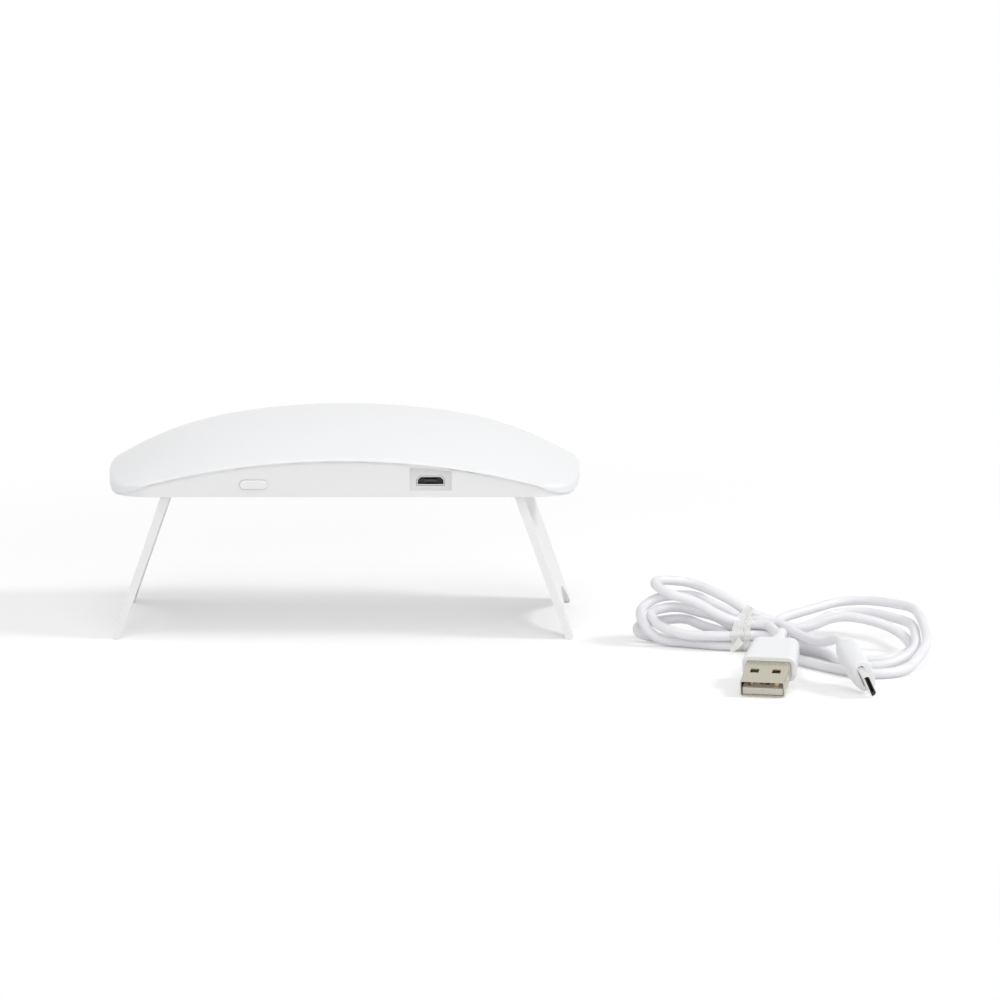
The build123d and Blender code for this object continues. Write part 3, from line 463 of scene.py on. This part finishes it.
def plug_axes(turn):
    """A plug's own axes: across it, its top, and out of its nose."""
    yaw, pitch, roll = (math.radians(angle) for angle in turn)
    out = Vector((math.sin(yaw) * math.cos(pitch), -math.cos(yaw) * math.cos(pitch), -math.sin(pitch)))
    across = Vector((math.cos(yaw), math.sin(yaw), 0))
    up = out.cross(across)
    across = across * math.cos(roll) + up * math.sin(roll)
    return across, out.cross(across), out


def lead_points():
    """The whole lead, from the USB plug's neck through the hank to the small plug's neck."""
    usb_back = -plug_axes(usb_turn)[2]
    usb_exit = Vector(usb_nose) + usb_back * usb_length
    micro_back = -plug_axes(micro_turn)[2]
    micro_exit = Vector(micro_nose) + micro_back * micro_length
    return ([usb_exit, usb_exit + usb_back * usb_straight, by_waist(*usb_bend)]
            + hank_points()
            + [by_waist(*place) for place in micro_bends]
            + [micro_exit + micro_back * micro_straight, micro_exit])


def add_lead():
    points = lead_points()
    data = bpy.data.curves.new("usb_lead", "CURVE")
    data.dimensions = "3D"
    data.bevel_depth = 1.0
    data.bevel_resolution = lead_roundness
    data.resolution_u = lead_fineness
    data.use_fill_caps = True
    spline = data.splines.new("NURBS")
    spline.points.add(len(points) - 1)
    for point, place in zip(spline.points, points):
        point.co = (*(place * MM), 1.0)
        point.radius = cord_diameter / 2 * MM
    spline.order_u = lead_order
    spline.use_endpoint_u = True
    lead = add_piece("usb_lead", data, "cord_white")
    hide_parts("cord_usb_tail", "cord_hank", "cord_micro_tail")
    return lead, points[0] * MM


usb_lead, lead_exit = add_lead()


# The tie: a thin crumpled film pulled round the hank's waist
film_clearance = 0.14
film_thickness = 0.11
film_floor_gap = 0.02
film_slant = 0.3
film_middle = -1.3
film_half_width = 2.9
film_least_half = 0.8
film_narrowing = 0.16
film_front = -5.5
film_slices = 21
film_steps = 160
strand_reach = 10.0
strand_facets = 32
edge_waver = 0.45
edge_waver_scale = 0.5
edge_waver_slice = 2.0
billow_height = 0.2
billow_scale = 0.35
crease_height = 0.2
crease_scale = 0.8
crease_shift = Vector((7.0, 3.0, 1.0))
wrinkle_height = 0.05
wrinkle_scale = 1.9
wrinkle_shift = Vector((1.0, 5.0, 9.0))


def centre_line(curve):
    """Points along the lead's middle, read from its own spline."""
    bare = curve.data.copy()
    bare.bevel_depth = 0.0
    carrier = bpy.data.objects.new("lead_line", bare)
    mesh = bpy.data.meshes.new_from_object(carrier)
    points = [vertex.co / MM for vertex in mesh.vertices]
    bpy.data.objects.remove(carrier)
    bpy.data.curves.remove(bare)
    bpy.data.meshes.remove(mesh)
    return points


def film_at(depth, share):
    """Where the film lies along the hank, at a depth and at a share of its width: it narrows to the back."""
    half = max(film_half_width - film_narrowing * (depth - film_front), film_least_half)
    return film_middle + film_slant * depth + half * share


def strands_at(line, share):
    """Where the strands cross one slanted slice of the tie: their depths and heights."""
    found = []
    sides = [point.x - waist_x - film_at(point.y - waist_y, share) for point in line]
    for here, there, side, far in zip(line, line[1:], sides, sides[1:]):
        if side * far < 0 and abs(here.y - waist_y) < strand_reach:
            place = here.lerp(there, side / (side - far))
            found.append((place.y, place.z))
    return found


def wrap(strands, radius):
    """The shortest loop round all the strands, as corner points in order."""
    angles = [math.tau * step / strand_facets for step in range(strand_facets)]
    rim = sorted((y + radius * math.cos(angle), z + radius * math.sin(angle))
                 for y, z in strands for angle in angles)

    def half(points):
        chain = []
        for y, z in points:
            while len(chain) > 1 and ((chain[-1][0] - chain[-2][0]) * (z - chain[-2][1])
                                      - (chain[-1][1] - chain[-2][1]) * (y - chain[-2][0])) <= 0:
                chain.pop()
            chain.append((y, z))
        return chain[:-1]

    return half(rim) + half(rim[::-1])


def even_loop(corners, steps):
    """The loop's points at even steps, from its front corner on."""
    loop = corners + corners[:1]
    spans = [math.dist(p, q) for p, q in zip(loop, loop[1:])]
    whole = sum(spans)
    points = []
    index, passed = 0, 0.0
    for step in range(steps):
        wanted = whole * step / steps
        while passed + spans[index] < wanted:
            passed += spans[index]
            index += 1
        share = (wanted - passed) / spans[index]
        (y0, z0), (y1, z1) = loop[index], loop[index + 1]
        points.append((y0 + (y1 - y0) * share, z0 + (z1 - z0) * share))
    return points


def ridges(place, scale, shift):
    """1 on the crests of sharp wandering ridges, and less beside them."""
    return 1.0 - abs(noise.noise(place * scale + shift)) * 2.0


def crumple(place):
    """How far the film stands off: soft billows crossed by sharp creases and fine wrinkles."""
    billow = noise.noise(place * billow_scale)
    crease = ridges(place, crease_scale, crease_shift)
    wrinkle = ridges(place, wrinkle_scale, wrinkle_shift)
    return (billow_height * max(billow, 0.0) + crease_height * max(crease, 0.0) ** 3
            + wrinkle_height * max(wrinkle, 0.0) ** 2)


def film_ring(line, share):
    """The film's loop at a share of its width: the points on its outer face and those under them."""
    loop = even_loop(wrap(strands_at(line, share), cord_diameter / 2 + film_clearance), film_steps)
    middle = Vector((0, sum(y for y, z in loop) / film_steps, sum(z for y, z in loop) / film_steps))
    outer, under = [], []
    for y, z in loop:
        place = Vector((waist_x + film_at(y - waist_y, share), y, z))
        place.x += edge_waver * share * noise.noise(Vector((y, z, edge_waver_slice)) * edge_waver_scale)
        out = Vector((0, y - middle.y, z - middle.z)).normalized()
        place += out * crumple(place)
        place.z = max(place.z, film_floor_gap + film_thickness)
        outer.append(place)
        under.append(place - out * film_thickness)
    return outer, under


def add_tie(line):
    rings = [film_ring(line, 2.0 * part / (film_slices - 1) - 1.0) for part in range(film_slices)]
    outer, under = (list(rows) for rows in zip(*rings))
    mesh = strip_mesh("cable_tie_film", outer, under, closed=True)
    tie = add_piece("cable_tie_film", mesh, "tie_cream")
    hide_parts("cable_tie")
    return tie


tie_film = add_tie(centre_line(usb_lead))


# The tie's loose end, folded down over the lowest strand towards the left
tie_end_path = ((-2.6, -6.3, 3.6), (-3.0, -6.7, 3.2), (-3.4, -7.0, 2.8), (-3.8, -7.3, 2.4), (-4.2, -7.5, 2.0),
                (-4.6, -7.7, 1.7), (-5.0, -7.9, 1.4), (-5.4, -8.1, 1.2), (-5.8, -8.3, 1.1))
tie_end_facing = Vector((0.25, -1.0, 0.35))
tie_end_lift = Vector((0, -1, 0.25)) * 0.9
tie_end_half_width = 1.15
tie_end_taper = 0.55
tie_end_raggedness = 0.3
tie_end_ragged_scale = 1.3
tie_end_side_steps = 6


def add_tie_end():
    path = [by_waist(*place) for place in tie_end_path]
    rows = []
    for index, place in enumerate(path):
        share = index / (len(path) - 1)
        ahead = (path[min(index + 1, len(path) - 1)] - path[max(index - 1, 0)]).normalized()
        across = ahead.cross(tie_end_facing).normalized()
        ragged = tie_end_raggedness * noise.noise(place * tie_end_ragged_scale)
        half = tie_end_half_width - tie_end_taper * share + ragged
        rows.append([place + across * half * (step / tie_end_side_steps - 1)
                     + tie_end_lift * crumple(place + across * step)
                     for step in range(2 * tie_end_side_steps + 1)])
    under = [[place + Vector((0, film_thickness, 0)) for place in row] for row in rows]
    return add_piece("cable_tie_end", strip_mesh("cable_tie_end", rows, under), "tie_cream")


tie_end = add_tie_end()


# What closes the shell's seam: a pale bead under its lip on both long sides, set back
seam_middle = -170.11
seam_radius = 220.81
seam_end = 64.4
corner_middle = (54.1, 21.2)
corner_radius = 11.8
bead_section = ((0.28, 0.31), (0.42, 0.05), (0.52, -0.17), (1.0, -0.17), (1.0, 0.31))
bead_stations = 161


def side_at(x, inset):
    """How far the body's long side stands out at x, drawn in by the inset."""
    past_corner = max(abs(x) - corner_middle[0], 0.0)
    return corner_middle[1] + math.sqrt((corner_radius - inset) ** 2 - past_corner**2)


def seam_height(x, rise):
    """The height of the arched seam at x, raised by the rise."""
    return seam_middle + math.sqrt((seam_radius + rise) ** 2 - x * x)


def add_seam_bead(name, side):
    sections = []
    for station in range(bead_stations):
        x = seam_end * (2.0 * station / (bead_stations - 1) - 1.0)
        sections.append([(x, side * side_at(x, inset), seam_height(x, rise)) for inset, rise in bead_section])
    add_piece(name, swept_mesh(name, sections), "base_white")


add_seam_bead("seam_bead_front", -1)
add_seam_bead("seam_bead_back", 1)


# What closes the button's gap: a thin ring, deep at the top and nearly flush below
button_middle = (-24.9, 44.6)
button_gap_size = (8.05, 2.75)
base_face = -32.5
ring_half_width = 0.055
ring_depth = 0.4
ring_sunk_below = 0.05
ring_sunk_above = 0.3
ring_steps = 64


def add_button_ring():
    half = button_gap_size[1] / 2
    reach = button_gap_size[0] / 2 - half
    sections = []
    for step in range(ring_steps):
        angle = math.tau * (step + 0.5) / ring_steps
        across, up = math.cos(angle), math.sin(angle)
        front = base_face + ring_sunk_below + ring_sunk_above * max(up, 0.0) ** 0.5
        back = front + ring_depth
        middle = Vector((button_middle[0] + math.copysign(reach, across), 0, button_middle[1]))
        away = Vector((across, 0, up))
        sections.append([middle + away * (half + shift) + Vector((0, y, 0))
                         for shift, y in ((-ring_half_width, front), (ring_half_width, front),
                                          (ring_half_width, back), (-ring_half_width, back))])
    add_piece("button_ring", swept_mesh("button_ring", sections, closed=True), "base_white")


add_button_ring()


# The LEDs, looking down: a ceramic base, a gold pad with its die, and a clear dome over them
# Each block: half width, cut corner, bottom, top, softened edge, slot, finish
led_seat = 46.85
led_base_low = 45.85
led_blocks = {
    "led_base": (2.5, 0.35, led_base_low, led_seat, 0.08, "board", "led_ceramic"),
    "led_pad": (1.15, 0.1, led_base_low - 0.05, led_base_low + 0.02, 0.01, "contact_gold", "contact_gold"),
    "led_die": (0.55, 0.05, led_base_low - 0.19, led_base_low - 0.04, 0.02, "black_plastic", "led_die"),
}
dome_profile = ((2.3, 45.86), (2.3, 45.74), (2.2, 45.66), (2.05, 45.4), (1.86, 45.06), (1.6, 44.7),
                (1.28, 44.35), (0.92, 44.08), (0.5, 43.91), (0.14, 43.86))
dome_steps = 40


def cut_square(middle, half, cut, height):
    """A square with its corners cut, lying flat at a height."""
    corners = ((-half, cut - half), (cut - half, -half), (half - cut, -half), (half, cut - half),
               (half, half - cut), (half - cut, half), (cut - half, half), (-half, half - cut))
    return [(middle[0] + x, middle[1] + y, height) for x, y in corners]


def block_sections(middle, half, cut, low, high, edge):
    """A flat block's outlines from its bottom to its top, drawn in at both by the softened edge."""
    levels = ((low, half - edge), (low + edge, half), (high - edge, half), (high, half - edge))
    return [cut_square(middle, reach, cut, height) for height, reach in levels]


def dome_sections(middle):
    angles = [math.tau * step / dome_steps for step in range(dome_steps)]
    return [[(middle[0] + radius * math.cos(angle), middle[1] + radius * math.sin(angle), height)
             for angle in angles] for radius, height in dome_profile]


def add_led(number, middle):
    for kind, (half, cut, low, high, edge, slot, finish) in led_blocks.items():
        name = f"{kind}_{number}"
        sections = block_sections(middle, half, cut, low, high, edge)
        block = add_piece(name, swept_mesh(name, sections), finish)
        if kind == "led_base":
            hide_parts(f"led_{number}")
    name = f"led_lens_{number}"
    add_piece(name, swept_mesh(name, dome_sections(middle)), "led_dome")


for number, middle in enumerate(led_places, 1):
    add_led(number, middle)


# The small plug's moulded body, narrowing from its neck to its metal
# Each section: place along the plug, half width, half height, squareness
micro_sections = (
    (-24.7, 1.5, 1.5, 2.0), (-24.5, 1.75, 1.75, 2.0), (-23.6, 1.95, 1.95, 2.0), (-21.4, 2.1, 2.1, 2.0),
    (-20.8, 2.35, 2.2, 2.1), (-20.55, 3.1, 2.45, 2.3), (-20.0, 3.8, 2.8, 2.5), (-19.1, 4.3, 3.1, 2.7),
    (-17.0, 4.7, 3.28, 2.9), (-14.5, 5.0, 3.36, 3.0), (-12.2, 5.05, 3.36, 3.0), (-10.0, 5.0, 3.26, 3.0),
    (-8.0, 4.9, 3.06, 3.0), (-6.4, 4.78, 2.84, 3.0), (-5.6, 4.68, 2.7, 3.0), (-5.3, 4.54, 2.56, 3.0),
    (-5.2, 4.3, 2.32, 3.0), (-5.2, 3.55, 1.05, 4.0), (-6.2, 3.5, 1.0, 4.0))
micro_steps = 56


def squared(turn, half, squareness):
    """One coordinate of a rounded oblong, from the cosine or sine of the angle."""
    return math.copysign(abs(turn) ** (2 / squareness), turn) * half


def add_micro_body():
    across, up, out = plug_axes(micro_turn)
    angles = [math.tau * step / micro_steps for step in range(micro_steps)]
    rings = []
    for along, half_width, half_height, squareness in micro_sections:
        rings.append([Vector(micro_nose) + across * squared(math.cos(angle), half_width, squareness)
                      + up * squared(math.sin(angle), half_height, squareness) + out * along
                      for angle in angles])
    mesh = swept_mesh("micro_plug_moulding", rings)
    body = add_piece("micro_plug_moulding", mesh, "plug_white")
    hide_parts("micro_plug_body")
    return body


micro_body = add_micro_body()


# Floor, backdrop and soft studio light
floor_half = 6.0
floor_place = (0.05, -0.02, -0.0001)
floor_tone = (0.8, 0.8, 0.8)
floor_glow = 0.265
floor_fade = (0.15, 0.35)
world_fill = 0.52
softbox_aim = Vector((0.03, -0.02, 0.03))
softboxes = {
    "top_softbox": ((0.05, -0.75, 1.1), (0.7, 0.9), 3.0),
    "right_softbox": ((0.95, -0.2, 0.85), (0.3, 0.3), 5.2),
    "left_softbox": ((-1.1, 0.1, 0.75), (0.35, 0.35), 1.8),
    "front_softbox": ((0.1, -1.5, 0.42), (1.4, 0.6), 4.3),
}


def seen_rays(tree):
    """1 on rays that show the background: straight to the camera, mirrored, or through glass."""
    path = tree.nodes.new("ShaderNodeLightPath")
    mirrored = math_node(tree, "MAXIMUM", path.outputs["Is Glossy Ray"], path.outputs["Is Transmission Ray"])
    return math_node(tree, "MAXIMUM", path.outputs["Is Camera Ray"], mirrored)


def mix_shaders(tree, share, first, second):
    mix = tree.nodes.new("ShaderNodeMixShader")
    link(tree, share, mix.inputs["Fac"])
    link(tree, first, mix.inputs[1])
    link(tree, second, mix.inputs[2])
    return mix.outputs["Shader"]


def floor_material():
    """A pale matt floor, white further out, that keeps the shadow near the lamp and is clear from below."""
    material = bpy.data.materials.new("studio_floor")
    material.use_nodes = True
    tree = material.node_tree
    shader = tree.nodes["Principled BSDF"]
    shader.inputs["Base Color"].default_value = (*floor_tone, 1.0)
    shader.inputs["Roughness"].default_value = 0.9
    shader.inputs["Specular IOR Level"].default_value = 0.0
    distance = tree.nodes.new("ShaderNodeVectorMath")
    distance.operation = "LENGTH"
    link(tree, tree.nodes.new("ShaderNodeTexCoord").outputs["Object"], distance.inputs[0])
    far = tree.nodes.new("ShaderNodeMapRange")
    far.interpolation_type = "SMOOTHSTEP"
    far.inputs["From Min"].default_value, far.inputs["From Max"].default_value = floor_fade
    link(tree, distance.outputs["Value"], far.inputs["Value"])
    seen = seen_rays(tree)
    shader.inputs["Emission Color"].default_value = (1.0, 1.0, 1.0, 1.0)
    link(tree, math_node(tree, "MULTIPLY", seen, floor_glow), shader.inputs["Emission Strength"])
    white = tree.nodes.new("ShaderNodeEmission").outputs["Emission"]
    clear = tree.nodes.new("ShaderNodeBsdfTransparent").outputs["BSDF"]
    below = tree.nodes.new("ShaderNodeNewGeometry").outputs["Backfacing"]
    fading = math_node(tree, "MULTIPLY", seen, far.outputs["Result"])
    above = mix_shaders(tree, fading, shader.outputs["BSDF"], white)
    link(tree, mix_shaders(tree, below, above, clear), tree.nodes["Material Output"].inputs["Surface"])
    return material


def add_floor():
    mesh = bpy.data.meshes.new("studio_floor")
    corners = [(x * floor_half, y * floor_half, 0) for x, y in ((-1, -1), (1, -1), (1, 1), (-1, 1))]
    mesh.from_pydata(corners, [], [(0, 1, 2, 3)])
    mesh.materials.append(floor_material())
    floor = bpy.data.objects.new("studio_floor", mesh)
    floor.location = floor_place
    scene.collection.objects.link(floor)


def add_world():
    """White where the camera sees it, and dimmer as a light."""
    world = bpy.data.worlds.new("studio")
    world.use_nodes = True
    tree = world.node_tree
    background = tree.nodes["Background"]
    background.inputs["Color"].default_value = (1.0, 1.0, 1.0, 1.0)
    lift = math_node(tree, "MULTIPLY", seen_rays(tree), 1.0 - world_fill)
    link(tree, math_node(tree, "ADD", lift, world_fill), background.inputs["Strength"])
    scene.world = world


def add_softbox(name, place, size, power):
    data = bpy.data.lights.new(name, "AREA")
    data.shape = "RECTANGLE"
    data.size, data.size_y = size
    data.energy = power
    softbox = bpy.data.objects.new(name, data)
    softbox.location = place
    softbox.rotation_euler = (softbox_aim - Vector(place)).to_track_quat("-Z", "Y").to_euler()
    scene.collection.objects.link(softbox)


add_floor()
add_world()
for name, (place, size, power) in softboxes.items():
    add_softbox(name, place, size, power)
scene.view_settings.view_transform = "Standard"

bpy.context.view_layer.update()
